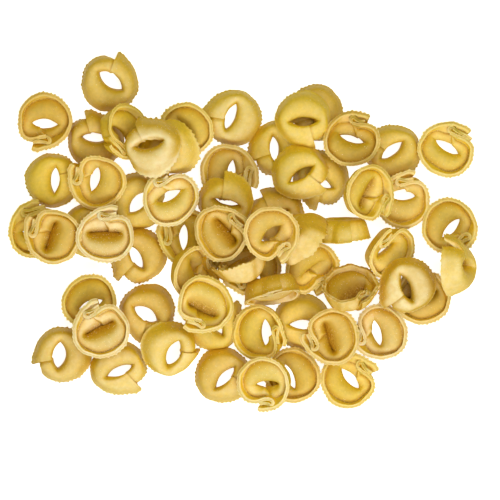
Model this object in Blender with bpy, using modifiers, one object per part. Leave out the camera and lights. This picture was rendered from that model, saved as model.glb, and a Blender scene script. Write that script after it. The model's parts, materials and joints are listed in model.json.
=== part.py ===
"""A loose heap of raw tortellini, as it lies on a flat surface.

Each filled ring is laid on those under it, and the heap is made one solid out to its uneven outline.
Lengths are in millimetres until the last step. +X runs along the heap's longer side and +Z is up.
"""

import itertools
import math

import bpy
import numpy as np

# One tortellino: a filled strip wrapped into a ring, thick at the belly, with a brim of sealed dough.
RIM_RADIUS = 15.2
HOLE_HALF_LENGTH = 7.85
HOLE_HALF_WIDTH = 3.0
HOLE_OFFSET = 1.6
BALANCE_HEIGHT = 5.5

# Its section, from the hole to the rim: (share of the width, height), over the top and back underneath.
BELLY_SECTION = (
    (0.00, 4.6), (0.12, 8.2), (0.38, 9.5), (0.66, 8.2), (0.84, 11.6),
    (1.00, 12.0), (0.96, 5.6), (0.74, 1.2), (0.38, 0.0), (0.10, 1.4),
)
TAIL_SECTION = (
    (0.00, 2.6), (0.10, 4.6), (0.30, 5.2), (0.52, 6.0), (0.72, 11.6),
    (1.00, 12.0), (0.96, 4.6), (0.72, 0.9), (0.34, 0.0), (0.08, 0.9),
)

# How the rings settle.
MAP_CELL = 1.5
MAP_HALF_X = 160.0
MAP_HALF_Y = 130.0
GRIP = 0.92
MOST_TIP = 26.0
LEANT_TIP = 10.0
MOST_SHIFT = 4.0
SHIFT_COST = 0.3
FIRST_TIPS = (-14, 0, 14)
FIRST_SHIFTS = (-3, -1.5, 0, 1.5, 3)
LEAST_GAIN = 0.5
FINER_STEPS = ((8.0, 2.0), (4.0, 1.0), (2.0, 0.5), (1.0, 0.25))

# The solid.
RING_STEPS = 20
SWELL = 0.35
PRESSED_IN = 0.7
VOXEL = 1.7
MOST_TRIANGLES = 8400

OPEN_UP = 1
BACK_UP = -1

# Each ring: (x, y, way the belly points in degrees, side up, lean in degrees, way it leans), lowest first.
RINGS = (
    (-73, 81, -127, BACK_UP, 0, 0),
    (-108, 60, 87, OPEN_UP, 0, 0),
    (-83.5, 49.5, -92, BACK_UP, 0, 0),
    (-5, 62, -23, BACK_UP, 0, 0),
    (-29, 55, 22, OPEN_UP, 0, 0),
    (-8, 32, 170, OPEN_UP, 0, 0),
    (18.5, 45, 5, BACK_UP, 0, 0),
    (40, 63, 0, BACK_UP, 0, 0),
    (43, 29, 60, BACK_UP, 0, 0),
    (18, 8.5, -80, BACK_UP, 0, 0),
    (82.5, 43, -50, BACK_UP, 0, 0),
    (110.5, 44.5, -122, OPEN_UP, 0, 0),
    (87, 19, -92, OPEN_UP, 0, 0),
    (111.5, 3.5, 137, OPEN_UP, 0, 0),
    (-113, 0, -75, OPEN_UP, 0, 0),
    (-86, 0.5, 180, BACK_UP, 0, 0),
    (-58, 16.5, 140, BACK_UP, 0, 0),
    (-57, -13.5, 31, BACK_UP, 0, 0),
    (-32, -3.5, -2, OPEN_UP, 0, 0),
    (-28, -22, -150, OPEN_UP, 44, -8),
    (5.5, -20, 45, OPEN_UP, 0, 0),
    (36, -18.5, 125, OPEN_UP, 35, -50),
    (54.5, -1.5, 72, BACK_UP, 80, 93),
    (32.5, -49.5, 92, BACK_UP, 0, 0),
    (57, -30.5, 134, OPEN_UP, 57, 92),
    (74.5, -11, -50, OPEN_UP, 40, -40),
    (98, -36, -70, OPEN_UP, 0, 0),
    (-83.5, -39, 110, OPEN_UP, 0, 0),
    (-98.5, -68, -5, BACK_UP, 0, 0),
    (-68, -75, 116, BACK_UP, 0, 0),
    (-52, -44, 57, BACK_UP, 0, 0),
    (-15.5, -49.5, -155, BACK_UP, 0, 0),
    (-11, -79, 139, BACK_UP, 0, 0),
    (27.5, -79, 20, OPEN_UP, 0, 0),
    (57.5, -81.5, -140, OPEN_UP, 0, 0),
    (75, -55.5, 12, OPEN_UP, 0, 0),
    (-104, 27, 178, BACK_UP, 0, 0),
    (-79, 28, -16, OPEN_UP, 0, 0),
    (-67, 54.5, 57, OPEN_UP, 48, 2),
    (-42, 44.5, -15, BACK_UP, 0, 0),
    (33, 61, 92, BACK_UP, 0, 0),
    (67, 21, 150, OPEN_UP, 44, -8),
    (57.5, 50, -108, OPEN_UP, 0, 0),
    (-10, 14.5, -108, BACK_UP, 0, 0),
    (31, 32, 125, BACK_UP, 0, 0),
    (-39.5, 18, -65, OPEN_UP, 0, 0),
    (-103, -3, -20, OPEN_UP, 0, 0),
    (-78.5, -2.5, -92, OPEN_UP, 8, -90),
    (-50.8, 45, -78, BACK_UP, 0, 0),
    (118, -19, -95, BACK_UP, 66, 0),
    (90, -30, 23, BACK_UP, 0, 0),
    (-38, -64.5, 155, BACK_UP, 0, 0),
    (-77, -54, -63, OPEN_UP, 0, 0),
    (10.5, -54.5, 178, OPEN_UP, 20, 178),
    (49, -54.5, 17, OPEN_UP, 8, 17),
    (13, -80, 97, OPEN_UP, 0, 0),
    (30.5, -3, -135, BACK_UP, 60, 128),
    (15.5, -31, -56, OPEN_UP, 78, -82),
    (-1, -20.5, 21, OPEN_UP, 78, 111),
    (-23, -41, 66, OPEN_UP, 24, 66),
    (-11.5, -2.5, -140, OPEN_UP, 22, -140),
    (16.5, -1.5, 129, OPEN_UP, 30, -50),
)


def ring_points(steps, splits):
    """Points round one ring, brim up and belly towards -Y, as an array (steps, section points, 3)."""
    belly = finer(np.array(BELLY_SECTION), splits)
    tail = finer(np.array(TAIL_SECTION), splits)
    rows = []
    for k in range(steps):
        angle = 2 * math.pi * k / steps
        outward = np.array((math.sin(angle), -math.cos(angle)))
        lens = abs(outward[1]) ** 0.7
        hole = np.array((HOLE_HALF_LENGTH, HOLE_HALF_WIDTH * lens)) * outward + (0, HOLE_OFFSET)
        fullness = (0.5 - 0.5 * outward[1]) ** 0.8
        section = fullness * belly + (1 - fullness) * tail
        plan = hole + section[:, :1] * (RIM_RADIUS * outward - hole)
        rows.append(np.column_stack((plan, section[:, 1])))
    return np.array(rows)


def finer(section, splits):
    """The closed section with each side cut into equal splits."""
    ahead = np.roll(section, -1, axis=0)
    shares = np.arange(splits)[None, :, None] / splits
    return (section[:, None] * (1 - shares) + ahead[:, None] * shares).reshape(-1, 2)


def turning(axis, degrees):
    """Rotation matrix about an axis."""
    x, y, z = np.array(axis, float) / np.linalg.norm(axis)
    c, s = math.cos(math.radians(degrees)), math.sin(math.radians(degrees))
    cross = np.array(((0, -z, y), (z, 0, -x), (-y, x, 0)))
    return np.eye(3) + s * cross + (1 - c) * cross @ cross


def leaning(degrees, way):
    """Rotation that leans what stands upright towards a compass way."""
    way = math.radians(way)
    return turning((-math.sin(way), math.cos(way), 0), degrees)


def tipping(tip):
    """Rotation for a small tip, given as (degrees towards +X, degrees towards +Y)."""
    amount = math.hypot(*tip)
    return leaning(amount, math.degrees(math.atan2(tip[1], tip[0]))) if amount else np.eye(3)


def cells(points, x, y):
    """The map cells under points placed at x, y. The footprint is drawn in, so that neighbours may touch."""
    across = np.round((points[:, 0] * GRIP + x + MAP_HALF_X) / MAP_CELL).astype(int)
    along = np.round((points[:, 1] * GRIP + y + MAP_HALF_Y) / MAP_CELL).astype(int)
    return across, along


def settle(ring, top, row):
    """The rotation and centre at which one ring rests, tipped and slid to lie as low as it can."""
    x, y, turn, side, lean, way = row
    upright = leaning(lean, way) @ turning((0, 0, 1), turn + 90) @ np.diag((side, 1, side))
    most_tip = LEANT_TIP if lean else MOST_TIP

    def lift(tip, shift):
        placed = ring @ (tipping(tip) @ upright).T
        return float(np.max(top[cells(placed, x + shift[0], y + shift[1])] - placed[:, 2]))

    def cost(state):
        if math.hypot(*state[:2]) > most_tip or math.hypot(*state[2:]) > MOST_SHIFT:
            return math.inf
        return lift(state[:2], state[2:]) + SHIFT_COST * (state[2] ** 2 + state[3] ** 2)

    state = min(itertools.product(FIRST_TIPS, FIRST_TIPS, FIRST_SHIFTS, FIRST_SHIFTS), key=cost)
    if cost(state) > cost((0, 0, 0, 0)) - LEAST_GAIN:
        state = (0, 0, 0, 0)
    for tip_step, shift_step in FINER_STEPS:
        better = state
        while better:
            state = better
            moves = [(tip_step, 0, 0, 0), (0, tip_step, 0, 0), (0, 0, shift_step, 0), (0, 0, 0, shift_step)]
            near = [tuple(np.add(state, np.multiply(sign, move))) for move in moves for sign in (1, -1)]
            best = min(near, key=cost)
            better = best if cost(best) < cost(state) - 1e-6 else None
    centre = np.array((x + state[2], y + state[3], lift(state[:2], state[2:])))
    return tipping(state[:2]) @ upright, centre


def lay_heap():
    """The rotation and centre of every ring, each laid on those before it."""
    ring = ring_points(72, 2).reshape(-1, 3) - (0, 0, BALANCE_HEIGHT)
    size = (int(2 * MAP_HALF_X / MAP_CELL) + 1, int(2 * MAP_HALF_Y / MAP_CELL) + 1)
    top = np.zeros(size)
    places = []
    for row in RINGS:
        rotation, centre = settle(ring, top, row)
        placed = ring @ rotation.T
        np.maximum.at(top, cells(placed, centre[0], centre[1]), placed[:, 2] + centre[2])
        places.append((rotation, centre))
    return places


def swollen_ring():
    """One ring for the solid, grown a little all round so that neighbours join."""
    points = ring_points(RING_STEPS, 1)
    middle = points.mean(axis=1, keepdims=True)
    away = points - middle
    return points + SWELL * away / np.linalg.norm(away, axis=2, keepdims=True)


def ring_faces(steps, around):
    """Quads over a ring of closed sections, facing out."""
    faces = []
    for k in range(steps):
        for m in range(around):
            here, after = k * around, (k + 1) % steps * around
            faces.append((here + m, here + (m + 1) % around, after + (m + 1) % around, after + m))
    return faces


def rough_heap():
    """All the rings as one mesh, still overlapping."""
    ring = swollen_ring()
    steps, around = ring.shape[:2]
    ring = ring.reshape(-1, 3) - (0, 0, BALANCE_HEIGHT)
    quads = np.array(ring_faces(steps, around))
    points, faces = [], []
    for count, (rotation, centre) in enumerate(lay_heap()):
        points.append(ring @ rotation.T + centre - (0, 0, PRESSED_IN))
        faces.append(quads + count * len(ring))
    points = np.concatenate(points)
    middle = (points.max(axis=0) + points.min(axis=0)) / 2
    points[:, :2] -= middle[:2]
    mesh = bpy.data.meshes.new("tortellini")
    mesh.from_pydata((points / 1000).tolist(), [], np.concatenate(faces).tolist())
    return mesh


def floor_cutter(collection):
    """A block whose top face is the surface the heap stands on."""
    half = MAP_HALF_X / 1000
    corners = [(x, y, z) for z in (-half, 0) for y in (-half, half) for x in (-half, half)]
    faces = [(0, 2, 3, 1), (4, 5, 7, 6), (0, 1, 5, 4), (2, 6, 7, 3), (0, 4, 6, 2), (1, 3, 7, 5)]
    mesh = bpy.data.meshes.new("floor_cutter")
    mesh.from_pydata(corners, [], faces)
    cutter = bpy.data.objects.new("floor_cutter", mesh)
    cutter.hide_render = True
    cutter.display_type = "WIRE"
    collection.objects.link(cutter)
    return cutter


def dough_material():
    """Dried egg-pasta dough."""
    material = bpy.data.materials.new("egg_dough")
    material.use_nodes = True
    shader = material.node_tree.nodes["Principled BSDF"]
    shader.inputs["Base Color"].default_value = (0.72, 0.50, 0.16, 1)
    shader.inputs["Roughness"].default_value = 0.6
    return material


def new_collection(name):
    collection = bpy.data.collections.new(name)
    bpy.context.scene.collection.children.link(collection)
    return collection


def build():
    for old in list(bpy.data.objects):
        bpy.data.objects.remove(old)
    collection = new_collection("tortellini_heap")
    cutters = new_collection("cutters")
    cutters.hide_render = True
    heap = bpy.data.objects.new("tortellini", rough_heap())
    heap.data.materials.append(dough_material())
    collection.objects.link(heap)

    join = heap.modifiers.new("join", "REMESH")
    join.mode = "VOXEL"
    join.voxel_size = VOXEL / 1000
    bpy.context.view_layer.update()
    graph = bpy.context.evaluated_depsgraph_get()
    made = len(heap.evaluated_get(graph).data.polygons) * 2

    thin = heap.modifiers.new("thin_out", "DECIMATE")
    thin.ratio = MOST_TRIANGLES / made
    cut = heap.modifiers.new("flatten_feet", "BOOLEAN")
    cut.operation = "DIFFERENCE"
    cut.object = floor_cutter(cutters)
    centre_on_origin(heap)


def centre_on_origin(heap):
    """Moves the finished heap so that the middle of its footprint is the origin."""
    bpy.context.view_layer.update()
    graph = bpy.context.evaluated_depsgraph_get()
    corners = np.array([tuple(v.co) for v in heap.evaluated_get(graph).data.vertices])
    middle = (corners.max(axis=0) + corners.min(axis=0)) / 2
    heap.location = (-middle[0], -middle[1], 0)


build()
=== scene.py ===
import itertools
import json
import math

import bpy
import numpy as np
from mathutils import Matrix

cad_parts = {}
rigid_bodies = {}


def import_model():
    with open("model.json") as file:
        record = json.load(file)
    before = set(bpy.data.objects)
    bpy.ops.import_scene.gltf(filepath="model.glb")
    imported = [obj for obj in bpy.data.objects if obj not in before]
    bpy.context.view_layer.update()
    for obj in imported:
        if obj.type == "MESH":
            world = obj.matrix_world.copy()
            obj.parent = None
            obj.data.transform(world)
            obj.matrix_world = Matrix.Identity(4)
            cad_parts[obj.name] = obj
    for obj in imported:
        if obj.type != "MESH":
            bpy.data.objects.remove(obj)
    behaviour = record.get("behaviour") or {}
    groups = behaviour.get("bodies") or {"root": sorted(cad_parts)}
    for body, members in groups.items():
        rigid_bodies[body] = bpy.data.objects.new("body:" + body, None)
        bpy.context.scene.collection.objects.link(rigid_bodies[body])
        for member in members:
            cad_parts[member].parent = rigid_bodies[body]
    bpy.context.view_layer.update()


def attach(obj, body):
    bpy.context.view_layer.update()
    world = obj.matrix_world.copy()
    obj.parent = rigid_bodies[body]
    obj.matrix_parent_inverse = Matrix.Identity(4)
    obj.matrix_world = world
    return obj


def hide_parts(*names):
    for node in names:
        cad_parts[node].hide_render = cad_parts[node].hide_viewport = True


# A loose heap of raw tortellini. Lengths are in millimetres until a mesh is made, as in the solid model.

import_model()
print("frame loaded")

openUp = 1
backUp = -1

# Each ring: x, y, way the belly points, side up, lean, way it leans, shape, flour on it. Lowest first.
heapRows = (
    (-73, 81, -127, backUp, 0, 0, "wideHole", 0.3),
    (-108, 60, 87, openUp, 0, 0, "plain", 0.1),
    (-83.5, 49.5, -92, backUp, 0, 0, "plain", 0.2),
    (-5, 62, -23, backUp, 0, 0, "plain", 0.7),
    (-29, 55, 22, openUp, 0, 0, "fullBelly", 0.2),
    (-8, 32, 170, openUp, 0, 0, "longLoop", 0.4),
    (18.5, 45, 5, backUp, 0, 0, "plain", 0.2),
    (40, 63, 0, backUp, 0, 0, "deepHole", 0.2),
    (43, 29, 60, backUp, 0, 0, "plain", 0.2),
    (18, 8.5, -80, backUp, 0, 0, "narrowHole", 0.2),
    (82.5, 43, -50, backUp, 0, 0, "plain", 0.2),
    (110.5, 44.5, -122, openUp, 0, 0, "longLoop", 0.3),
    (87, 19, -92, openUp, 0, 0, "plain", 0.4),
    (111.5, 3.5, 137, openUp, 0, 0, "fullBelly", 0.3),
    (-113, 0, -75, openUp, 0, 0, "longLoop", 0.1),
    (-86, 0.5, 180, backUp, 0, 0, "plain", 0.1),
    (-58, 16.5, 140, backUp, 0, 0, "wideHole", 0.2),
    (-57, -13.5, 31, backUp, 0, 0, "plain", 0.2),
    (-32, -3.5, -2, openUp, 0, 0, "plain", 0.2),
    (-28, -22, -150, openUp, 44, -8, "narrowHole", 0.3),
    (5.5, -20, 45, openUp, 0, 0, "plain", 0.2),
    (36, -18.5, 125, openUp, 35, -50, "narrowHole", 0.2),
    (54.5, -1.5, 72, backUp, 80, 93, "flap", 0.5),
    (32.5, -49.5, 92, backUp, 0, 0, "plain", 0.2),
    (57, -30.5, 134, openUp, 57, 92, "jagged", 0.5),
    (74.5, -11, -50, openUp, 40, -40, "narrowHole", 0.4),
    (98, -36, -70, openUp, 0, 0, "deepHole", 0.3),
    (-83.5, -39, 110, openUp, 0, 0, "fullBelly", 0.2),
    (-98.5, -68, -5, backUp, 0, 0, "wideHole", 0.5),
    (-68, -75, 116, backUp, 0, 0, "plain", 0.6),
    (-52, -44, 57, backUp, 0, 0, "wideHole", 0.2),
    (-15.5, -49.5, -155, backUp, 0, 0, "plain", 0.2),
    (-11, -79, 139, backUp, 0, 0, "plain", 0.3),
    (27.5, -79, 20, openUp, 0, 0, "fullBelly", 0.2),
    (57.5, -81.5, -140, openUp, 0, 0, "plain", 0.2),
    (75, -55.5, 12, openUp, 0, 0, "fullBelly", 0.8),
    (-104, 27, 178, backUp, 0, 0, "plain", 0.0),
    (-79, 28, -16, openUp, 0, 0, "plain", 0.3),
    (-67, 54.5, 57, openUp, 48, 2, "longLoop", 0.2),
    (-42, 44.5, -15, backUp, 0, 0, "openBrim", 0.4),
    (33, 61, 92, backUp, 0, 0, "plain", 0.3),
    (67, 21, 150, openUp, 44, -8, "deepHole", 0.3),
    (57.5, 50, -108, openUp, 0, 0, "fullBelly", 0.2),
    (-10, 14.5, -108, backUp, 0, 0, "fullBelly", 0.3),
    (31, 32, 125, backUp, 0, 0, "plain", 0.4),
    (-39.5, 18, -65, openUp, 0, 0, "fullBelly", 1.0),
    (-103, -3, -20, openUp, 0, 0, "deepHole", 0.4),
    (-78.5, -2.5, -92, openUp, 8, -90, "deepHole", 1.2),
    (-50.8, 45, -78, backUp, 0, 0, "openBrim", 1.2),
    (118, -19, -95, backUp, 66, 0, "flap", 0.6),
    (90, -30, 23, backUp, 0, 0, "plain", 1.0),
    (-38, -64.5, 155, backUp, 0, 0, "wideHole", 0.6),
    (-77, -54, -63, openUp, 0, 0, "deepHole", 1.1),
    (10.5, -54.5, 178, openUp, 20, 178, "plain", 0.2),
    (49, -54.5, 17, openUp, 8, 17, "deepHole", 0.4),
    (13, -80, 97, openUp, 0, 0, "fullBelly", 0.7),
    (30.5, -3, -135, backUp, 60, 128, "jagged", 0.5),
    (15.5, -31, -56, openUp, 78, -82, "flap", 1.0),
    (-1, -20.5, 21, openUp, 78, 111, "jagged", 0.6),
    (-23, -41, 66, openUp, 24, 66, "deepHole", 0.6),
    (-11.5, -2.5, -140, openUp, 22, -140, "deepHole", 0.4),
    (16.5, -1.5, 129, openUp, 30, -50, "wideHole", 0.4),
)

# The plain ring that the heap is laid with, and how it settles.
laying = {
    "rimRadius": 15.2,
    "holeHalfLength": 7.85,
    "holeHalfWidth": 3.0,
    "holeOffset": 1.6,
    "balanceHeight": 5.5,
    "ringSteps": 72,
    "sectionSplits": 2,
    "bellySection": (
        (0.00, 4.6), (0.12, 8.2), (0.38, 9.5), (0.66, 8.2), (0.84, 11.6),
        (1.00, 12.0), (0.96, 5.6), (0.74, 1.2), (0.38, 0.0), (0.10, 1.4),
    ),
    "tailSection": (
        (0.00, 2.6), (0.10, 4.6), (0.30, 5.2), (0.52, 6.0), (0.72, 11.6),
        (1.00, 12.0), (0.96, 4.6), (0.72, 0.9), (0.34, 0.0), (0.08, 0.9),
    ),
    "mapCell": 1.5,
    "mapHalfX": 160.0,
    "mapHalfY": 130.0,
    "grip": 0.92,
    "mostTip": 26.0,
    "leantTip": 10.0,
    "mostShift": 4.0,
    "shiftCost": 0.3,
    "firstTips": (-14, 0, 14),
    "firstShifts": (-3, -1.5, 0, 1.5, 3),
    "leastGain": 0.5,
    "leastFineGain": 1e-6,
    "finerSteps": ((8.0, 2.0), (4.0, 1.0), (2.0, 0.5), (1.0, 0.25)),
}


def finer(section, splits):
    ahead = np.roll(section, -1, axis=0)
    shares = np.arange(splits)[None, :, None] / splits
    return (section[:, None] * (1 - shares) + ahead[:, None] * shares).reshape(-1, 2)


def plainRing(steps, splits):
    belly = finer(np.array(laying["bellySection"]), splits)
    tail = finer(np.array(laying["tailSection"]), splits)
    rows = []
    for k in range(steps):
        angle = 2 * math.pi * k / steps
        outward = np.array((math.sin(angle), -math.cos(angle)))
        halfSizes = np.array((laying["holeHalfLength"], laying["holeHalfWidth"] * abs(outward[1]) ** 0.7))
        hole = halfSizes * outward + (0, laying["holeOffset"])
        fullness = (0.5 - 0.5 * outward[1]) ** 0.8
        section = fullness * belly + (1 - fullness) * tail
        plan = hole + section[:, :1] * (laying["rimRadius"] * outward - hole)
        rows.append(np.column_stack((plan, section[:, 1])))
    return np.array(rows).reshape(-1, 3) - (0, 0, laying["balanceHeight"])


def turning(axis, degrees):
    x, y, z = np.array(axis, float) / np.linalg.norm(axis)
    c, s = math.cos(math.radians(degrees)), math.sin(math.radians(degrees))
    cross = np.array(((0, -z, y), (z, 0, -x), (-y, x, 0)))
    return np.eye(3) + s * cross + (1 - c) * cross @ cross


def leaning(degrees, way):
    way = math.radians(way)
    return turning((-math.sin(way), math.cos(way), 0), degrees)


def tipping(tip):
    amount = math.hypot(*tip)
    return leaning(amount, math.degrees(math.atan2(tip[1], tip[0]))) if amount else np.eye(3)


def mapCells(points, x, y):
    cell, grip = laying["mapCell"], laying["grip"]
    across = np.round((points[:, 0] * grip + x + laying["mapHalfX"]) / cell).astype(int)
    along = np.round((points[:, 1] * grip + y + laying["mapHalfY"]) / cell).astype(int)
    return across, along


def settle(ring, top, row):
    # tips and slides one ring until it lies as low as it can on those under it
    x, y, turn, side, lean, way = row[:6]
    upright = leaning(lean, way) @ turning((0, 0, 1), turn + 90) @ np.diag((side, 1, side))
    mostTip = laying["leantTip"] if lean else laying["mostTip"]

    def lift(tip, shift):
        placed = ring @ (tipping(tip) @ upright).T
        return float(np.max(top[mapCells(placed, x + shift[0], y + shift[1])] - placed[:, 2]))

    def cost(state):
        if math.hypot(*state[:2]) > mostTip or math.hypot(*state[2:]) > laying["mostShift"]:
            return math.inf
        return lift(state[:2], state[2:]) + laying["shiftCost"] * (state[2] ** 2 + state[3] ** 2)

    tips, shifts = laying["firstTips"], laying["firstShifts"]
    state = min(itertools.product(tips, tips, shifts, shifts), key=cost)
    if cost(state) > cost((0, 0, 0, 0)) - laying["leastGain"]:
        state = (0, 0, 0, 0)
    for tipStep, shiftStep in laying["finerSteps"]:
        better = state
        while better:
            state = better
            moves = [(tipStep, 0, 0, 0), (0, tipStep, 0, 0), (0, 0, shiftStep, 0), (0, 0, 0, shiftStep)]
            near = [tuple(np.add(state, np.multiply(sign, move))) for move in moves for sign in (1, -1)]
            best = min(near, key=cost)
            better = best if cost(best) < cost(state) - laying["leastFineGain"] else None
    centre = np.array((x + state[2], y + state[3], lift(state[:2], state[2:])))
    return tipping(state[:2]) @ upright, centre


def layHeap():
    ring = plainRing(laying["ringSteps"], laying["sectionSplits"])
    cell = laying["mapCell"]
    top = np.zeros((int(2 * laying["mapHalfX"] / cell) + 1, int(2 * laying["mapHalfY"] / cell) + 1))
    places = []
    for row in heapRows:
        rotation, centre = settle(ring, top, row)
        placed = ring @ rotation.T
        np.maximum.at(top, mapCells(placed, centre[0], centre[1]), placed[:, 2] + centre[2])
        places.append((rotation, centre))
    return places


places = layHeap()
print("heap laid:", len(places), "pieces, highest centre", round(max(c[2] for _, c in places), 1), "mm")

# One tortellino. The angle runs from 0 at the middle of the belly to pi at the closure.
piece = {
    "rimRadius": 15.2,
    "rimHeight": 11.0,
    "rimWave": 0.35,
    "oval": (1.0, 1.0),
    "outline": 0.3,
    "outlinePhase": 0.0,
    "ruffle": 0.1,
    "holeHalfLength": 7.85,
    "holeHalfWidth": 2.6,
    "holePointed": 1.7,  # 1 is an oval hole, more is a lens
    "holeOffset": 1.6,
    "foldDrop": 0.0,
    "fullness": 1.0,
    "lobeFullness": 0.72,
    "lobeTilt": 1.0,
    "creaseFullness": 1.5,
    "brimThickness": 2.0,
    "brimShare": 1.0,
    "brimWaver": 0.15,
    "flareWaver": 5.0,
    "spread": 0.0,
    "spreadFlare": 34.0,
    "spreadDrop": 4.2,
    "stepLength": 0.56,
    "rowsPerTooth": 4,
    "toothDepth": 1.15,
    "toothWay": (0.8, 0.35),
    "outerTailPast": 0.38,
    "outerTailOut": 0.6,
    "outerEndCloses": math.pi - 0.2,
    "corner": 1.4,
    "innerTailPast": 0.2,
    "innerTailIn": 5.4,
    "innerEndTurns": 2.7,
    "innerEndFlattens": math.pi - 0.22,
    "innerTailRise": 1.6,
    "shellRadius": 15.0,
    "shellNarrows": 1.7,
    "loopRadius": 1.2,
    "loopSteps": 12,
    "loopClosing": 26,
    "loopMeets": 2.72,
    "loopTail": 0.7,
    "loopPull": 0.38,
    "loopGap": 0.05,
    "loopLean": 2.6,
    "sheetBottom": 4.6,
}
# the angles between which a change along the ring sets in
spans = {
    "ruffleFades": (2.0, 2.6),
    "outerTailSwings": (2.4, 3.1),
    "cornerGrows": (math.pi - 0.12, math.pi + 0.26),
    "innerTailTurns": (2.15, math.pi),
    "innerTailRises": (2.5, 2.9),
    "innerTailNarrows": (2.55, 2.85),
    "innerTailBulges": (2.1, 2.4),
}
pieceShapes = {
    "plain": {},
    "wideHole": {"holeHalfWidth": 3.7, "oval": (1.0, 1.03), "outlinePhase": 1.3, "corner": 1.5},
    "narrowHole": {
        "holeHalfWidth": 1.0, "holeHalfLength": 7.0, "outlinePhase": 2.2, "oval": (1.02, 0.98),
        "fullness": 1.1,
    },
    "fullBelly": {
        "fullness": 1.15, "brimShare": 0.85, "outlinePhase": 3.6, "loopMeets": 2.78, "corner": 0.6,
    },
    "longLoop": {
        "loopMeets": 2.5, "innerTailPast": 0.26, "brimShare": 1.15, "outlinePhase": 4.4, "corner": 1.3,
    },
    "deepHole": {
        "holeHalfWidth": -0.5, "holeHalfLength": 7.2, "foldDrop": 0.7, "lobeTilt": 0.0, "lobeFullness": 1.2,
        "outlinePhase": 5.5, "fullness": 1.2,
    },
    "flap": {
        "outerTailPast": 0.6, "corner": 3.2, "loopMeets": 2.78, "toothDepth": 1.6, "rowsPerTooth": 5,
        "outlinePhase": 1.1,
    },
    "jagged": {
        "holeHalfWidth": -0.4, "foldDrop": 0.7, "lobeTilt": 0.0, "lobeFullness": 1.2, "toothDepth": 2.0,
        "toothWay": (0.3, 1.0), "rowsPerTooth": 5, "outlinePhase": 2.9, "ruffle": 0.35, "loopRadius": 1.3,
    },
    "openBrim": {
        "holeHalfWidth": 2.4, "spread": 0.6, "brimShare": 1.5, "outlinePhase": 0.7, "toothDepth": 2.0,
        "rowsPerTooth": 5, "outline": 0.6,
    },
}
keyAngles = (0.0, 0.8, 1.57, 2.2, 2.8, 3.3)
outerTail = {
    "foldHeight": (5.0, 4.7, 3.7, 2.9, 2.3, 2.2),
    "footOffset": (5.2, 4.5, 2.8, 2.3, 1.9, 1.8),
    "brimWidth": (2.9, 2.8, 2.6, 3.1, 5.4, 6.8),
    "creaseHeight": (8.5, 8.1, 7.4, 6.8, 6.8, 6.6),
    "lobeHeight": (4.3, 3.9, 3.0, 2.4, 1.6, 1.2),
    "flareDegrees": (21.0, 20.0, 19.0, 20.0, 20.0, 16.0),
}
innerTail = {
    "foldHeight": (5.0, 4.7, 3.7, 3.2, 4.0, 4.5),
    "footOffset": (5.2, 4.5, 2.8, 2.3, 1.9, 1.8),
    "brimWidth": (2.9, 2.8, 2.6, 2.7, 2.8, 2.0),
    "creaseHeight": (8.5, 8.1, 7.4, 6.6, 5.8, 5.4),
    "lobeHeight": (4.3, 3.9, 3.0, 2.4, 1.9, 1.5),
    "flareDegrees": (21.0, 20.0, 19.0, 15.0, 8.0, 4.0),
}
# the share of each height that is lost where the outer tail is pressed shut at its end
pressedFlat = {"lobeHeight": 0.8, "foldHeight": 0.4, "creaseHeight": 0.45}
sectionCounts = {"under": 4, "wall": 7, "edge": 5, "inner": 5, "lobe": 7}
# how far each curve of the section runs on before it bends
pulls = {"lowWall": 0.72, "highWall": 0.45, "bulgeOut": 1.25, "bulgeDown": 0.3, "brim": 0.4, "crease": 0.3}


def smoothStep(low, high, x):
    t = np.clip((x - low) / (high - low), 0, 1)
    return t * t * (3 - 2 * t)


def evened(values, reach=5):
    # takes out the kinks that straight lines between keys leave
    kernel = np.hanning(2 * reach + 3)[1:-1]
    padded = np.concatenate((np.repeat(values[:1], reach), values, np.repeat(values[-1:], reach)))
    return np.convolve(padded, kernel / kernel.sum(), "valid")


def bezier(p0, p1, p2, p3, count):
    t = np.linspace(0, 1, count)[:, None]
    return (1 - t) ** 3 * p0 + 3 * t * (1 - t) ** 2 * p1 + 3 * t * t * (1 - t) * p2 + t ** 3 * p3


def clockwise(vector, angles):
    c, s = np.cos(angles), np.sin(angles)
    return np.column_stack((c * vector[0] + s * vector[1], -s * vector[0] + c * vector[1]))


def cutEdge(tip, along, inward, thickness, out):
    # two layers pressed together, with a shallow groove between them and a wavy cut on the outside
    return np.array((
        tip + out,
        tip + out * 0.9 + along * 0.2 + inward * 0.25,
        tip + out * 0.45 - along * 0.4 + inward * thickness * 0.45,
        tip + out * 0.2 + along * 0.1 + inward * thickness * 0.66,
        tip - along * 0.35 + inward * thickness,
    ))


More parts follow.
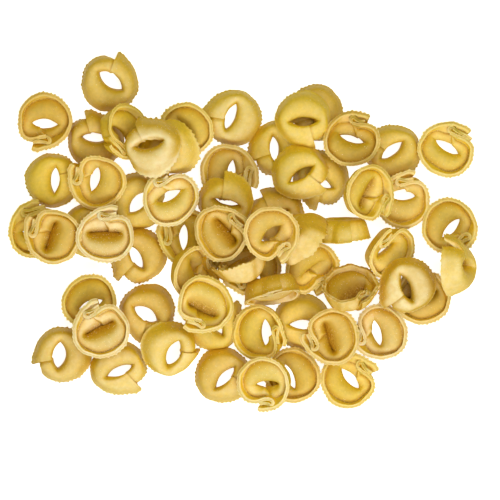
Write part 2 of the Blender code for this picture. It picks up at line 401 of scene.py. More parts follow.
def pocketSection(at, width, rise, thickness, tooth):
    # from the fold at the hole, underneath and up to the rim, then down inside and back over the filling
    creaseOffset = max(width - at["brimWidth"], at["footOffset"] * 0.5)
    fold = np.array((0.0, at["foldHeight"] + rise * 0.3))
    foot = np.array((at["footOffset"], rise))
    turn = np.linspace(0, math.pi / 2, sectionCounts["under"] + 1)[:-1, None]
    under = fold + (foot - fold) * np.hstack((1 - np.cos(turn), np.sin(turn)))
    flare = math.radians(at["flareDegrees"])
    along = np.array((math.sin(flare), math.cos(flare)))
    inward = np.array((-along[1], along[0]))
    rim = np.array((width, at["rimHeight"]))
    bulge = at["bulge"]
    lowPull = foot + ((width - foot[0]) * pulls["lowWall"] + bulge, 0)
    highPull = rim - along * pulls["highWall"] * (rim[1] - rise)
    highPull += (bulge * pulls["bulgeOut"], -bulge * pulls["bulgeDown"])
    wall = bezier(foot, lowPull, highPull, rim, sectionCounts["wall"])
    edge = cutEdge(rim, along, inward, thickness, tooth)
    crease = np.array((creaseOffset, at["creaseHeight"] + rise * 0.6))
    innerRim = rim + inward * thickness - along * 0.35
    drop = np.linalg.norm(innerRim - crease)
    brimPull = innerRim - along * pulls["brim"] * drop
    creasePull = crease + np.array((0.3, 0.95)) * pulls["crease"] * drop
    inner = bezier(innerRim, brimPull, creasePull, crease, sectionCounts["inner"])
    across = fold - crease
    up = np.array((across[1] * at["lobeTilt"], -across[0]))
    up /= np.linalg.norm(up)
    arch = np.linspace(0, math.pi, sectionCounts["lobe"] + 2)[1:-1, None]
    full = np.linspace(piece["creaseFullness"], at["lobeFullness"], sectionCounts["lobe"])[:, None]
    reach = np.sign(np.cos(arch)) * np.abs(np.cos(arch)) ** full
    lobe = (fold + crease) / 2 - across / 2 * reach + up * at["lobeHeight"] * np.sin(arch) ** full
    return np.concatenate((under, wall, edge, inner, lobe))


def sheetSection(width, bottom, top, thickness, tooth):
    # the same points on a plain sheet that stands on edge
    left = width - thickness
    counts = sectionCounts
    under = np.column_stack((np.linspace(left + thickness * 0.5, width - 0.15, counts["under"]),
                             np.full(counts["under"], bottom)))
    wall = np.column_stack((np.full(counts["wall"], width), np.linspace(bottom + 0.3, top, counts["wall"])))
    edge = cutEdge(np.array((width, top)), np.array((0, 1)), np.array((-1, 0)), thickness, tooth)
    down = np.linspace(top, bottom, counts["inner"] + counts["lobe"])
    inner = np.column_stack((np.full(len(down), left), down))
    inner[-1, 0] += 0.2
    return np.concatenate((under, wall, edge, inner))


def unit(vectors):
    return vectors / np.linalg.norm(vectors, axis=1)[:, None]


def ringOutline(p, phi):
    # from above: the rim, its distance from the hole, and the ways across and along it
    outward = np.column_stack((np.sin(phi), -np.cos(phi)))
    cosine = np.cos(phi)
    hole = np.column_stack((
        p["holeHalfLength"] * np.sin(phi),
        p["holeOffset"] - p["holeHalfWidth"] * np.sign(cosine) * np.abs(cosine) ** p["holePointed"],
    ))
    ruffle = np.sin(7 * phi + 2 * p["outlinePhase"]) + 0.7 * np.sin(11 * phi - p["outlinePhase"])
    ruffle = p["ruffle"] * ruffle * (1 - smoothStep(*spans["ruffleFades"], phi))
    radius = p["rimRadius"] + p["outline"] * np.sin(3 * phi + p["outlinePhase"])
    radius += ruffle
    radius += p["outerTailOut"] * smoothStep(*spans["outerTailSwings"], -phi)
    radius += p["corner"] * smoothStep(*spans["cornerGrows"], -phi)
    radius -= p["innerTailIn"] * smoothStep(*spans["innerTailTurns"], phi)
    rim = outward * radius[:, None] * p["oval"]
    away = rim - hole
    width = np.linalg.norm(away, axis=1)
    travel = unit(np.gradient(rim, axis=0))
    beside = np.column_stack((travel[:, 1], -travel[:, 0]))
    turnedIn = smoothStep(p["innerEndTurns"], phi[-1], phi)[:, None]
    away = unit(away / width[:, None] * (1 - turnedIn) + beside * turnedIn)
    return {
        "rim": rim, "width": width, "away": away, "travel": travel, "beside": beside,
        "radius": radius, "ruffle": ruffle,
    }


def sectionSizes(p, phi, ring):
    # every size of the section, at each step along the ring
    at = {}
    for name in outerTail:
        outer = np.interp(np.abs(phi), keyAngles, outerTail[name])
        inner = np.interp(np.abs(phi), keyAngles, innerTail[name])
        at[name] = evened(np.where(phi > 0, inner, outer))
    spread = p["spread"] * smoothStep(-0.1, 0.75, np.cos(phi))
    closing = smoothStep(p["outerEndCloses"], -phi[0], -phi)
    waver = np.sin(2 * phi + 1.7 * p["outlinePhase"]) + 0.6 * np.sin(5 * phi - p["outlinePhase"])
    for name, share in pressedFlat.items():
        at[name] *= 1 - share * closing
    at["lobeHeight"] *= p["fullness"]
    at["foldHeight"] *= 1 - p["foldDrop"]
    at["brimWidth"] *= p["brimShare"] * (1 - 0.55 * spread) * (1 + p["brimWaver"] * waver)
    at["brimWidth"] += ring["ruffle"]
    at["flareDegrees"] += p["flareWaver"] * waver + p["spreadFlare"] * spread
    at["rimHeight"] = p["rimHeight"] + p["rimWave"] * np.sin(2 * phi + p["outlinePhase"])
    at["rimHeight"] -= p["spreadDrop"] * spread
    at["rimHeight"] += p["ruffle"] * 0.8 * np.sin(8 * phi + 3 * p["outlinePhase"])
    shell = p["shellRadius"] - p["shellNarrows"] * smoothStep(*spans["innerTailNarrows"], phi)
    at["bulge"] = np.maximum(shell - ring["radius"], 0) * smoothStep(*spans["innerTailBulges"], phi)
    return at


def foldedLoop(p, phi, ring):
    # the inner tail turns back on itself in a tight loop, and its end lies outside the way it came
    rim, away, travel, beside = (ring[key] for key in ("rim", "away", "travel", "beside"))
    centre = rim[-1] + p["loopRadius"] * away[-1]
    turns = np.linspace(0, math.pi + math.radians(p["loopClosing"]), p["loopSteps"] + 1)[1:]
    loopAway = clockwise(away[-1], turns)
    loopRim = centre - p["loopRadius"] * loopAway
    meet = int(np.argmin(np.abs(phi - p["loopMeets"])))
    goal = rim[meet] + beside[meet] * p["loopGap"]
    leaveWay = clockwise(travel[-1], turns[-1:])[0]
    reach = np.linalg.norm(goal - loopRim[-1])
    leavePull = loopRim[-1] + leaveWay * reach * p["loopPull"]
    goalPull = goal + travel[meet] * reach * p["loopPull"]
    back = bezier(loopRim[-1], leavePull, goalPull, goal, max(5, int(reach / p["stepLength"])))[1:]
    tailSteps = range(1, 1 + int(p["loopTail"] / p["stepLength"]))
    tailEnd = [rim[meet - k] + beside[meet - k] * p["loopGap"] for k in tailSteps]
    backRim = np.concatenate((back, np.array(tailEnd).reshape(-1, 2)))
    backTravel = unit(np.gradient(np.concatenate((loopRim[-1:], backRim)), axis=0)[1:])
    backAway = np.column_stack((backTravel[:, 1], -backTravel[:, 0]))
    return np.concatenate((loopRim, backRim)), np.concatenate((loopAway, backAway))


def cutTeeth(p, count):
    # the crimped cut: sharp teeth, uneven from one to the next, that come and go along the brim
    along = np.arange(count) / p["rowsPerTooth"]
    tooth = p["toothDepth"] * np.clip(1.2 - np.abs(2 * (along % 1.0) - 1) * 1.6, 0, 1)
    tooth *= 0.7 + 0.3 * np.sin(np.floor(along) * 2.4 + p["outlinePhase"])
    tooth *= 0.58 + 0.42 * np.sin(along * 0.37 + 2 * p["outlinePhase"])
    return tooth[:, None] * p["toothWay"]


def tortellinoRows(shape):
    p = {**piece, **shape}
    thickness = p["brimThickness"]
    firstAngle, lastAngle = -math.pi - p["outerTailPast"], math.pi + p["innerTailPast"]
    steps = int((lastAngle - firstAngle) * p["rimRadius"] / p["stepLength"])
    phi = np.linspace(firstAngle, lastAngle, steps)
    ring = ringOutline(p, phi)
    at = sectionSizes(p, phi, ring)
    rise = p["innerTailRise"] * smoothStep(*spans["innerTailRises"], phi)
    sheet = smoothStep(p["innerEndFlattens"], lastAngle, phi)
    loopRim, loopAway = foldedLoop(p, phi, ring)
    tooth = cutTeeth(p, steps + len(loopRim))
    rows = []
    for k in range(steps):
        here = {name: values[k] for name, values in at.items()}
        here.update(lobeTilt=p["lobeTilt"], lobeFullness=p["lobeFullness"])
        width = ring["width"][k]
        section = pocketSection(here, width, rise[k], thickness, tooth[k])
        if sheet[k] > 0:
            pressed = sheetSection(width, p["sheetBottom"], here["rimHeight"], thickness, tooth[k])
            section = section * (1 - sheet[k]) + pressed * sheet[k]
        plan = ring["rim"][k] + (section[:, :1] - width) * ring["away"][k]
        rows.append(np.hstack((plan, section[:, 1:])))
    topEnd = at["rimHeight"][-1]
    for k in range(len(loopRim)):
        section = sheetSection(0.0, p["sheetBottom"], topEnd, thickness, tooth[steps + k])
        # the loop closes a little way down, and its end leans on the wall it came along
        home = smoothStep(p["loopSteps"], len(loopRim), k + 1)
        section[:, 0] += home * p["loopLean"] * np.clip(1 - section[:, 1] / topEnd, 0, 1)
        across = p["loopRadius"] * (1 + smoothStep(p["loopSteps"] - 4, p["loopSteps"] + 2, k))
        section[:, 0] += (1 - home) * across * smoothStep(-0.7, 0.9, topEnd - section[:, 1])
        rows.append(np.hstack((loopRim[k] + section[:, :1] * loopAway[k], section[:, 1:])))
    return np.array(rows), phi, sheet


def ringFaces(count, around):
    # the rows joined side to side, and each end closed by strips across it
    faces = []
    for k in range(count - 1):
        for m in range(around):
            here, after, beyond = k * around, (k + 1) * around, (m + 1) % around
            faces.append((here + m, after + m, after + beyond, here + beyond))
    for first, turned in ((0, False), ((count - 1) * around, True)):
        low, high = 0, around - 1
        while high - low > 1:
            face = (first + low, first + low + 1, first + high - 1, first + high)
            face = tuple(dict.fromkeys(face))
            faces.append(face if turned else face[::-1])
            low, high = low + 1, high - 1
    return faces


def sectionMask(under, wall, edge, inner, lobe):
    # one value at each point round the section, each part fading evenly between its two ends
    parts = {"under": under, "wall": wall, "edge": edge, "inner": inner, "lobe": lobe}
    return np.concatenate([np.linspace(*parts[name], sectionCounts[name]) for name in sectionCounts])


def seamAndShadeMask(shape, sheet, count):
    # the line where the two layers meet, and the browner filling beside it, both partly painted shade of
    # the brim over the crease
    steps = len(sheet)
    crease = np.tile(sectionMask((0, 0), (0, 0), (0, 0), (-3, 1), (0.75, -2.5)), (count, 1))
    crease[:steps] *= (1 - sheet)[:, None]
    crease[steps:] = 0
    if shape.get("foldDrop"):
        # painted shade: a hole that closes is brown down both of its sides, where shade falls in it
        crease[:steps, -4:] = (0.1, 0.55, 0.9, 1.0)
        crease[:steps, :2] = (1.0, 0.8)
    # a faint dark line in the groove between the two layers: partly the seam, partly painted shade
    grooveBetweenLayers = sectionCounts["under"] + sectionCounts["wall"] + 2
    crease[:, grooveBetweenLayers] = 0.62
    return crease.clip(0, 1)


def doughMasks(shape, phi, sheet, count, around):
    steps = len(phi)
    filled, deep = np.zeros((count, around)), np.zeros((count, around))
    belly = 0.25 + 0.75 * (0.5 + 0.5 * np.cos(phi))
    overFilling = sectionMask((0.7, 0.6), (0.6, 0), (0, 0), (0, 0), (1, 1))
    filled[:steps] = overFilling * (belly * (1 - sheet))[:, None]
    # painted bounce light: the loop's hollow lies in shade and is painted bright saturated yellow
    deep[steps:] = sectionMask((1, 1), (1, 0.7), (0, 0), (0, 0.6), (0.6, 1))
    return {
        "filled": filled,
        "edge": np.tile(sectionMask((0, 0), (0, 0.1), (1, 1), (0.1, 0), (0, 0)), (count, 1)),
        "deep": deep,
        "crease": seamAndShadeMask(shape, sheet, count),
    }


def tortellinoMesh(name, shape):
    rows, phi, sheet = tortellinoRows(shape)
    count, around = rows.shape[:2]
    mesh = bpy.data.meshes.new(name)
    mesh.from_pydata((rows.reshape(-1, 3) / 1000).tolist(), [], ringFaces(count, around))
    for key, values in doughMasks(shape, phi, sheet, count, around).items():
        layer = mesh.attributes.new(key, "FLOAT", "POINT")
        layer.data.foreach_set("value", values.reshape(-1).astype(np.float32))
    return mesh


def newCollection(name):
    collection = bpy.data.collections.new(name)
    bpy.context.scene.collection.children.link(collection)
    return collection


kindNames = sorted(pieceShapes)
kinds = newCollection("tortellinoKinds")
for name in kindNames:
    kindMesh = tortellinoMesh("kind_" + name, pieceShapes[name])
    kinds.objects.link(bpy.data.objects.new("kind_" + name, kindMesh))


def setSocket(tree, socket, value):
    if isinstance(value, bpy.types.NodeSocket):
        tree.links.new(value, socket)
    else:
        socket.default_value = value


def addNode(tree, kind, settings=None, **inputs):
    # an input is a socket's name with underscores for spaces, or i and its number
    node = tree.nodes.new(kind)
    for key, value in (settings or {}).items():
        setattr(node, key, value)
    for key, value in inputs.items():
        numbered = key[0] == "i" and key[1:].isdigit()
        setSocket(tree, node.inputs[int(key[1:]) if numbered else key.replace("_", " ")], value)
    return node


def geometryTree(name, inputs):
    tree = bpy.data.node_groups.new(name, "GeometryNodeTree")
    tree.interface.new_socket("Geometry", in_out="INPUT", socket_type="NodeSocketGeometry")
    for label, kind in inputs.items():
        tree.interface.new_socket(label, in_out="INPUT", socket_type="NodeSocket" + kind)
    tree.interface.new_socket("Geometry", in_out="OUTPUT", socket_type="NodeSocketGeometry")
    return tree, tree.nodes.new("NodeGroupInput").outputs


def runTree(obj, tree, values):
    # sets the inputs by identifier, then turns the result into a plain mesh on the same object
    modifier = obj.modifiers.new(tree.name, "NODES")
    modifier.node_group = tree
    for item in tree.interface.items_tree:
        if item.item_type == "SOCKET" and item.in_out == "INPUT" and item.name in values:
            modifier[item.identifier] = values[item.name]
    bpy.context.view_layer.update()
    graph = bpy.context.evaluated_depsgraph_get()
    mesh = bpy.data.meshes.new_from_object(obj.evaluated_get(graph), depsgraph=graph)
    obj.modifiers.clear()
    obj.data = mesh
    mesh.name = obj.name


def layingTree():
    # sets each kind of ring down at its point, then makes every one uneven in its own way
    tree, given = geometryTree("layRings", {
        "Kinds": "Collection", "Broad Unevenness": "Float", "Broad Size": "Float",
        "Fine Unevenness": "Float", "Fine Size": "Float", "Material": "Material",
    })
    spin = addNode(tree, "GeometryNodeInputNamedAttribute", {"data_type": "FLOAT_VECTOR"}, Name="spin")
    size = addNode(tree, "GeometryNodeInputNamedAttribute", {"data_type": "FLOAT_VECTOR"}, Name="size")
    kind = addNode(tree, "GeometryNodeInputNamedAttribute", {"data_type": "INT"}, Name="kind")
    rings = addNode(tree, "GeometryNodeCollectionInfo", None, Collection=given["Kinds"],
                    Separate_Children=True, Reset_Children=True)
    turned = addNode(tree, "FunctionNodeEulerToRotation", None, Euler=spin.outputs["Attribute"])
    laid = addNode(tree, "GeometryNodeInstanceOnPoints", None, Points=given["Geometry"],
                   Instance=rings.outputs["Instances"], Pick_Instance=True,
                   Instance_Index=kind.outputs["Attribute"], Rotation=turned.outputs["Rotation"],
                   Scale=size.outputs["Attribute"])
    real = addNode(tree, "GeometryNodeRealizeInstances", None, Geometry=laid.outputs["Instances"])
    place = tree.nodes.new("GeometryNodeInputPosition").outputs["Position"]
    moved = real.outputs["Geometry"]
    for amount, scale in (("Broad Unevenness", "Broad Size"), ("Fine Unevenness", "Fine Size")):
        frequency = addNode(tree, "ShaderNodeMath", {"operation": "DIVIDE"}, i0=1.0, i1=given[scale])
        noise = addNode(tree, "ShaderNodeTexNoise", None, Vector=place, Scale=frequency.outputs[0],
                        Detail=1.0)
        middle = addNode(tree, "ShaderNodeVectorMath", {"operation": "SUBTRACT"},
                         i0=noise.outputs["Color"], i1=(0.5, 0.5, 0.5))
        offset = addNode(tree, "ShaderNodeVectorMath", {"operation": "SCALE"},
                         i0=middle.outputs["Vector"], Scale=given[amount])
        moved = addNode(tree, "GeometryNodeSetPosition", None, Geometry=moved,
                        Offset=offset.outputs["Vector"]).outputs["Geometry"]
    # nothing sinks below the floor
    split = addNode(tree, "ShaderNodeSeparateXYZ", None, Vector=place)
    above = addNode(tree, "ShaderNodeMath", {"operation": "MAXIMUM"}, i0=split.outputs["Z"], i1=0.0)
    kept = addNode(tree, "ShaderNodeCombineXYZ", None, X=split.outputs["X"], Y=split.outputs["Y"],
                   Z=above.outputs[0])
    rested = addNode(tree, "GeometryNodeSetPosition", None, Geometry=moved, Position=kept.outputs["Vector"])
    smooth = addNode(tree, "GeometryNodeSetShadeSmooth", None, Geometry=rested.outputs["Geometry"])
    done = addNode(tree, "GeometryNodeSetMaterial", None, Geometry=smooth.outputs["Geometry"],
                   Material=given["Material"])
    addNode(tree, "NodeGroupOutput", None, Geometry=done.outputs["Geometry"])
    return tree


def mixColour(tree, share, first, second):
    return addNode(tree, "ShaderNodeMix", {"data_type": "RGBA"}, i0=share, i6=first, i7=second).outputs[2]


def mathNode(tree, operation, first, second, third=0.0):
    node = addNode(tree, "ShaderNodeMath", {"operation": operation}, i0=first, i1=second, i2=third)
    return node.outputs[0]


def rangeNode(tree, value, low, high, toLow=0.0, toHigh=1.0):
    settings = {"interpolation_type": "SMOOTHSTEP"}
    return addNode(tree, "ShaderNodeMapRange", settings, Value=value, From_Min=low, From_Max=high,
                   To_Min=toLow, To_Max=toHigh).outputs["Result"]


def noiseNode(tree, vector, scale, detail=2.0, roughness=0.5):
    return addNode(tree, "ShaderNodeTexNoise", None, Vector=vector, Scale=scale, Detail=detail,
                   Roughness=roughness).outputs["Fac"]


def attributeNode(tree, name):
    return addNode(tree, "ShaderNodeAttribute", {"attribute_name": name}).outputs["Fac"]


doughLook = {
    "brimColour": (0.84, 0.58, 0.045, 1),
    "filledColour": (0.72, 0.48, 0.03, 1),
    "oliveColour": (0.58, 0.42, 0.025, 1),
    # painted bounce light for the shaded hollow of the loop
    "paintedLoopBounceColour": (0.95, 0.6, 0.01, 1),
    "edgeColour": (0.91, 0.67, 0.18, 1),
    # browner filling beside the seam and a dark seam line, both partly painted shade
    "fillingAndShadeColour": (0.6, 0.34, 0.015, 1),
    "seamAndShadeColour": (0.38, 0.16, 0.004, 1),
    # pale flour, partly a painted highlight where the key light falls
    "flourAndHighlightColour": (0.97, 0.85, 0.6, 1),
    "oliveShare": 0.5,
    "paintedLoopBounceShare": 0.85,
    "edgeShare": 0.6,
    "fillingAndShadeShare": 0.45,
    "hueBetween": (0.493, 0.506),
    "batchBetween": (0.92, 1.07),
    "shadeBetween": (0.93, 1.06),
    "specksBetween": (0.2, 0.7),
    # tipped toward the key light, so the flour doubles as painted highlight
    "flourAndLightWay": (0.0, -0.34, 0.94),
    "leastFlourAndHighlight": 0.25,
    "flourOnBelly": 0.5,
    "broadScale": 70.0,
    "patchScale": 260.0,
    "shadeScale": 650.0,
    "speckScale": 1100.0,
    "grainScale": 2600.0,
    "roughnessBetween": (0.44, 0.6),
    "gloss": 0.2,
    "bumpStrength": 0.8,
    "grainDepth": 0.00009,
    "mottleDepth": 0.0002,
    "subsurface": 0.2,
    "subsurfaceRadius": (1.0, 0.6, 0.2),
    "subsurfaceScale": 0.001,
}


def doughColour(tree, place, filled):
    # thin dough on the brim, darker and greener over the filling, each piece a little lighter or darker
    look = doughLook
    colour = mixColour(tree, filled, look["brimColour"], look["filledColour"])
    broad = noiseNode(tree, place, look["broadScale"])
    olive = mathNode(tree, "MULTIPLY", filled, rangeNode(tree, broad, 0.4, 0.75, 0.0, look["oliveShare"]))
    colour = mixColour(tree, olive, colour, look["oliveColour"])
    # painted bounce light: the loop's shaded hollow turns bright saturated yellow
    deep = mathNode(tree, "MULTIPLY", attributeNode(tree, "deep"), look["paintedLoopBounceShare"])
    colour = mixColour(tree, deep, colour, look["paintedLoopBounceColour"])
    edge = mathNode(tree, "MULTIPLY", attributeNode(tree, "edge"), look["edgeShare"])
    colour = mixColour(tree, edge, colour, look["edgeColour"])
    batch = attributeNode(tree, "batch")
    uneven = noiseNode(tree, place, look["shadeScale"], 3.0, 0.6)
    shade = rangeNode(tree, uneven, 0.3, 0.7, *look["shadeBetween"])
    value = mathNode(tree, "MULTIPLY", rangeNode(tree, batch, 0.0, 1.0, *look["batchBetween"]), shade)
    hue = rangeNode(tree, batch, 0.0, 1.0, *look["hueBetween"])
    return addNode(tree, "ShaderNodeHueSaturation", None, Hue=hue, Saturation=1.0, Value=value,
                   Color=colour).outputs["Color"]


def flourAndHighlight(tree, colour, patch, filled):
    # fine flour lies on what faces up, in patches, and thinner on the belly; the way it faces tips toward
    # the key light and some lies even on unfloured pieces, so it is partly a painted highlight
    look = doughLook
    normal = tree.nodes.new("ShaderNodeNewGeometry").outputs["Normal"]
    facing = addNode(tree, "ShaderNodeVectorMath", {"operation": "DOT_PRODUCT"}, i0=normal,
                     i1=look["flourAndLightWay"]).outputs["Value"]
    patchy = rangeNode(tree, patch, 0.3, 0.75, 0.6, 1.0)
    dustAndHighlight = mathNode(tree, "MULTIPLY", patchy, rangeNode(tree, facing, 0.35, 1.0))
    floury = mathNode(tree, "MULTIPLY_ADD", attributeNode(tree, "floury"), 1 - look["leastFlourAndHighlight"],
                      look["leastFlourAndHighlight"])
    dustAndHighlight = mathNode(tree, "MULTIPLY", dustAndHighlight, floury)
    onBelly = mathNode(tree, "MULTIPLY_ADD", filled, -look["flourOnBelly"], 1.0)
    return mixColour(tree, mathNode(tree, "MULTIPLY", dustAndHighlight, onBelly), colour, look["flourAndHighlightColour"])


def paintSeamAndShade(tree, colour, place):
    # browner beside the seam, and a broken dark line in it: partly the filling and the seam, partly painted
    # shade in the crease and in a closing hole
    look = doughLook
    crease = attributeNode(tree, "crease")
    near = mathNode(tree, "MULTIPLY", rangeNode(tree, crease, 0.0, 0.7), look["fillingAndShadeShare"])
    speckle = noiseNode(tree, place, look["speckScale"], 2.0)
    specks = rangeNode(tree, speckle, 0.36, 0.62, *look["specksBetween"])
    line = mathNode(tree, "MULTIPLY", rangeNode(tree, crease, 0.55, 0.95), specks)
    colour = mixColour(tree, near, colour, look["fillingAndShadeColour"])
    return mixColour(tree, line, colour, look["seamAndShadeColour"])


def doughMaterial():
    look = doughLook
    material = bpy.data.materials.new("eggDough")
    material.use_nodes = True
    tree = material.node_tree
    shader = tree.nodes["Principled BSDF"]
    place = tree.nodes.new("ShaderNodeTexCoord").outputs["Object"]
    patch = noiseNode(tree, place, look["patchScale"], 3.0)
    grain = noiseNode(tree, place, look["grainScale"], 3.0, 0.6)
    mottled = rangeNode(tree, patch, 0.2, 0.6, 0.7, 1.0)
    filled = mathNode(tree, "MULTIPLY", attributeNode(tree, "filled"), mottled)
    colour = doughColour(tree, place, filled)
    colour = flourAndHighlight(tree, colour, patch, filled)
    tree.links.new(paintSeamAndShade(tree, colour, place), shader.inputs["Base Color"])
    roughness = rangeNode(tree, grain, 0.3, 0.7, *look["roughnessBetween"])
    tree.links.new(roughness, shader.inputs["Roughness"])
    shader.inputs["Specular IOR Level"].default_value = look["gloss"]
    shader.inputs["Subsurface Weight"].default_value = look["subsurface"]
    shader.inputs["Subsurface Radius"].default_value = look["subsurfaceRadius"]
    shader.inputs["Subsurface Scale"].default_value = look["subsurfaceScale"]
    mottle = addNode(tree, "ShaderNodeBump", None, Strength=look["bumpStrength"],
                     Distance=look["mottleDepth"], Height=patch)
    fine = addNode(tree, "ShaderNodeBump", None, Strength=look["bumpStrength"],
                   Distance=look["grainDepth"], Height=grain, Normal=mottle.outputs["Normal"])
    tree.links.new(fine.outputs["Normal"], shader.inputs["Normal"])
    return material


semolinaLook = {
    "yellowGrain": (0.93, 0.80, 0.48, 1),
    "paleGrain": (0.95, 0.90, 0.76, 1),
    "mixScale": 300.0,
    "roughness": 0.55,
}


def semolinaMaterial():
    material = bpy.data.materials.new("semolina")
    material.use_nodes = True
    tree = material.node_tree
    shader = tree.nodes["Principled BSDF"]
    place = tree.nodes.new("ShaderNodeTexCoord").outputs["Object"]
    share = rangeNode(tree, noiseNode(tree, place, semolinaLook["mixScale"]), 0.35, 0.65)
    colour = mixColour(tree, share, semolinaLook["yellowGrain"], semolinaLook["paleGrain"])
    tree.links.new(colour, shader.inputs["Base Color"])
    shader.inputs["Roughness"].default_value = semolinaLook["roughness"]
    return material


heap = {
    "broadUnevenness": 0.0016,
    "broadSize": 0.022,
    "fineUnevenness": 0.0006,
    "fineSize": 0.007,
    "leastSize": 0.97,
    "mostSize": 1.03,
    "splitAt": 0.0,
    "seed": 4,
}


def eulerOf(rotation):
    # angles in XYZ order, as the nodes take them
    y = math.asin(max(-1.0, min(1.0, -rotation[2, 0])))
    return math.atan2(rotation[2, 1], rotation[2, 2]), y, math.atan2(rotation[1, 0], rotation[0, 0])


def heapGroups():
    # which rings go together in one mesh, by how they lie and on which side of the heap
    groups = {}
    for index, row in enumerate(heapRows):
        manner = "leaning" if row[4] else "open" if row[3] == openUp else "back"
        groups.setdefault(manner + ("Left" if row[0] < heap["splitAt"] else "Right"), []).append(index)
    return groups


def ringPoints(name, members, sizes, batches):
    # one point for each ring of a group, with all that the laying needs to know of it
    mesh = bpy.data.meshes.new(name)
    offsets = [places[i][1] - places[i][0] @ (0, 0, laying["balanceHeight"]) for i in members]
    mesh.from_pydata([tuple(offset / 1000) for offset in offsets], [], [])
    for key, kind, values in (
        ("spin", "FLOAT_VECTOR", [eulerOf(places[i][0]) for i in members]),
        ("size", "FLOAT_VECTOR", [sizes[i] for i in members]),
        ("kind", "INT", [kindNames.index(heapRows[i][6]) for i in members]),
        ("batch", "FLOAT", [batches[i] for i in members]),
        ("floury", "FLOAT", [heapRows[i][7] for i in members]),
    ):
        layer = mesh.attributes.new(key, kind, "POINT")
        field = "vector" if kind == "FLOAT_VECTOR" else "value"
        layer.data.foreach_set(field, np.array(values).reshape(-1))
    return mesh


def newObject(name, data):
    obj = bpy.data.objects.new(name, data)
    bpy.context.scene.collection.objects.link(obj)
    return obj


def makeHeap():
    tree, dough = layingTree(), doughMaterial()
    random = np.random.default_rng(heap["seed"])
    sizes = random.uniform(heap["leastSize"], heap["mostSize"], (len(heapRows), 3))
    batches = random.uniform(0, 1, len(heapRows))
    pieces = []
    for groupName, members in heapGroups().items():
        name = "tortellini_" + groupName
        obj = newObject(name, ringPoints(name, members, sizes, batches))
        runTree(obj, tree, {
            "Kinds": kinds, "Broad Unevenness": heap["broadUnevenness"], "Broad Size": heap["broadSize"],
            "Fine Unevenness": heap["fineUnevenness"], "Fine Size": heap["fineSize"], "Material": dough,
        })
        pieces.append(obj)
        print(name, len(members), "pieces,", len(obj.data.polygons) * 2, "triangles")
    return pieces


def moveMesh(mesh, offset):
    points = np.empty(len(mesh.vertices) * 3, np.float32)
    mesh.vertices.foreach_get("co", points)
    moved = points.reshape(-1, 3) + offset
    mesh.vertices.foreach_set("co", moved.astype(np.float32).reshape(-1))
    mesh.update()


heapPieces = makeHeap()
for obj in list(kinds.objects):
    bpy.data.objects.remove(obj)
bpy.data.collections.remove(kinds)

# the heap is centred on its own footprint, as the solid is
corners = np.array([[tuple(c) for c in obj.bound_box] for obj in heapPieces]).reshape(-1, 3)
middle = (corners.min(axis=0) + corners.max(axis=0)) / 2
print("footprint middle", middle * 1000, "lowest", corners[:, 2].min() * 1000)
for obj in heapPieces:
    moveMesh(obj.data, (-middle[0], -middle[1], 0))
    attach(obj, "root")
    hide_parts("tortellini")

semolina = {
    "perSquareMetre": 190000.0,
    "grainRadius": 0.00018,
    "leastSize": (0.5, 0.5, 0.5),
    "mostSize": (1.3, 1.3, 1.3),
    "mostTurn": (6.28, 6.28, 6.28),
    "facingBetween": (0.1, 0.8),
    "seed": 11,
}


def semolinaTree():
    # coarse flour caught on the dough where it faces up, mostly on the floury pieces
    tree, given = geometryTree("dustGrains", {
        "Heap": "Collection", "Density": "Float", "Grain Radius": "Float", "Seed": "Int",
        "Material": "Material",
    })
    info = addNode(tree, "GeometryNodeCollectionInfo", None, Collection=given["Heap"])
    real = addNode(tree, "GeometryNodeRealizeInstances", None, Geometry=info.outputs["Instances"])
    normal = tree.nodes.new("GeometryNodeInputNormal").outputs["Normal"]
    facing = addNode(tree, "ShaderNodeSeparateXYZ", None, Vector=normal).outputs["Z"]
    low, high = semolina["facingBetween"]
    upward = addNode(tree, "ShaderNodeMapRange", None, Value=facing, From_Min=low, From_Max=high)
    floury = addNode(tree, "GeometryNodeInputNamedAttribute", {"data_type": "FLOAT"}, Name="floury")
    share = addNode(tree, "ShaderNodeMath", {"operation": "MULTIPLY"}, i0=upward.outputs["Result"],
                    i1=floury.outputs["Attribute"])
    density = addNode(tree, "ShaderNodeMath", {"operation": "MULTIPLY"}, i0=share.outputs[0],
                      i1=given["Density"])
    points = addNode(tree, "GeometryNodeDistributePointsOnFaces", None, Mesh=real.outputs["Geometry"],
                     Density=density.outputs[0], Seed=given["Seed"])
    grain = addNode(tree, "GeometryNodeMeshIcoSphere", None, Radius=given["Grain Radius"], Subdivisions=1)
    size = addNode(tree, "FunctionNodeRandomValue", {"data_type": "FLOAT_VECTOR"},
                   Min=semolina["leastSize"], Max=semolina["mostSize"], Seed=given["Seed"])
    spin = addNode(tree, "FunctionNodeRandomValue", {"data_type": "FLOAT_VECTOR"}, Min=(0, 0, 0),
                   Max=semolina["mostTurn"], Seed=given["Seed"])
    turned = addNode(tree, "FunctionNodeEulerToRotation", None, Euler=spin.outputs["Value"])
    laid = addNode(tree, "GeometryNodeInstanceOnPoints", None, Points=points.outputs["Points"],
                   Instance=grain.outputs["Mesh"], Rotation=turned.outputs["Rotation"],
                   Scale=size.outputs["Value"])
    grains = addNode(tree, "GeometryNodeRealizeInstances", None, Geometry=laid.outputs["Instances"])
    done = addNode(tree, "GeometryNodeSetMaterial", None, Geometry=grains.outputs["Geometry"],
                   Material=given["Material"])
    addNode(tree, "NodeGroupOutput", None, Geometry=done.outputs["Geometry"])
    return tree


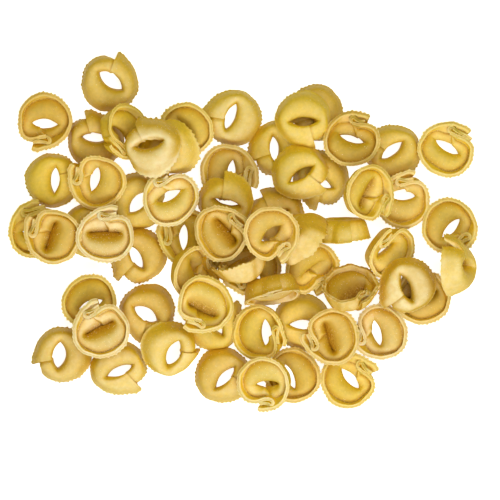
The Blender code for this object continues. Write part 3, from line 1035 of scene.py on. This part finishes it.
def makeSemolina():
    dusted = newCollection("dustedHeap")
    for obj in heapPieces:
        dusted.objects.link(obj)
    grains = newObject("semolina_grains", bpy.data.meshes.new("semolina_grains"))
    runTree(grains, semolinaTree(), {
        "Heap": dusted, "Density": semolina["perSquareMetre"], "Grain Radius": semolina["grainRadius"],
        "Seed": semolina["seed"], "Material": semolinaMaterial(),
    })
    bpy.data.collections.remove(dusted)
    return grains


grains = makeSemolina()
print("semolina:", len(grains.data.polygons), "faces")
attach(grains, "root")

studio = {
    "floorHalf": 3.0,
    "floorColour": (0.93, 0.93, 0.92, 1),
    "floorRoughness": 0.9,
    "floorGlow": 0.85,
    "skyColour": (1.0, 0.86, 0.1, 1),
    "skyStrength": 0.35,
    "wallColour": (0.96, 0.96, 0.95, 1),
    "cameraHeight": 2.2,
    "viewWidth": 0.2725,
    "viewMiddle": (0.0039, -0.0102),
    "viewDepth": 0.012,
    "sensorWidth": 36.0,
}
studioLights = {
    "keyLight": {"energy": 5.8, "size": 0.5, "location": (0.1, -0.68, 0.8), "colour": (1.0, 0.99, 0.98)},
    "fillLight": {"energy": 8.1, "size": 1.0, "location": (0.3, 0.3, 1.5), "colour": (0.97, 0.98, 1.0)},
}


def makeFloor():
    half = studio["floorHalf"]
    mesh = bpy.data.meshes.new("floor")
    edgePoints = [(-half, -half, 0), (half, -half, 0), (half, half, 0), (-half, half, 0)]
    mesh.from_pydata(edgePoints, [], [(0, 1, 2, 3)])
    material = bpy.data.materials.new("paleFloor")
    material.use_nodes = True
    shader = material.node_tree.nodes["Principled BSDF"]
    shader.inputs["Base Color"].default_value = studio["floorColour"]
    shader.inputs["Roughness"].default_value = studio["floorRoughness"]
    shader.inputs["Emission Color"].default_value = (1, 1, 1, 1)
    shader.inputs["Emission Strength"].default_value = studio["floorGlow"]
    mesh.materials.append(material)
    floor = newObject("floor", mesh)
    floor.visible_diffuse = False


def softLight(name, energy, size, location, colour):
    data = bpy.data.lights.new(name, "AREA")
    data.energy, data.size, data.color = energy, size, colour
    light = newObject(name, data)
    light.location = location
    toward = -light.location
    light.rotation_euler = toward.to_track_quat("-Z", "Y").to_euler()


def makeSky():
    # the room lights the dough warmly, and looks like a plain pale wall itself
    world = bpy.data.worlds.new("studioSky")
    world.use_nodes = True
    tree = world.node_tree
    glow = tree.nodes["Background"]
    glow.inputs["Color"].default_value = studio["skyColour"]
    glow.inputs["Strength"].default_value = studio["skyStrength"]
    wall = addNode(tree, "ShaderNodeBackground", None, Color=studio["wallColour"], Strength=1.0)
    seen = tree.nodes.new("ShaderNodeLightPath").outputs["Is Camera Ray"]
    both = addNode(tree, "ShaderNodeMixShader", None, i0=seen, i1=glow.outputs["Background"],
                   i2=wall.outputs["Background"])
    tree.links.new(both.outputs["Shader"], tree.nodes["World Output"].inputs["Surface"])
    bpy.context.scene.world = world


def makeCamera():
    camera = newObject("camera", bpy.data.cameras.new("camera"))
    camera.location = (*studio["viewMiddle"], studio["cameraHeight"])
    distance = studio["cameraHeight"] - studio["viewDepth"]
    camera.data.sensor_width = studio["sensorWidth"]
    camera.data.lens = studio["sensorWidth"] * distance / studio["viewWidth"]
    camera.data.clip_start, camera.data.clip_end = 0.01, 10.0
    bpy.context.scene.camera = camera


makeFloor()
for name, settings in studioLights.items():
    softLight(name, **settings)
makeSky()
makeCamera()
bpy.context.scene.view_settings.view_transform = "Standard"
print("studio set")
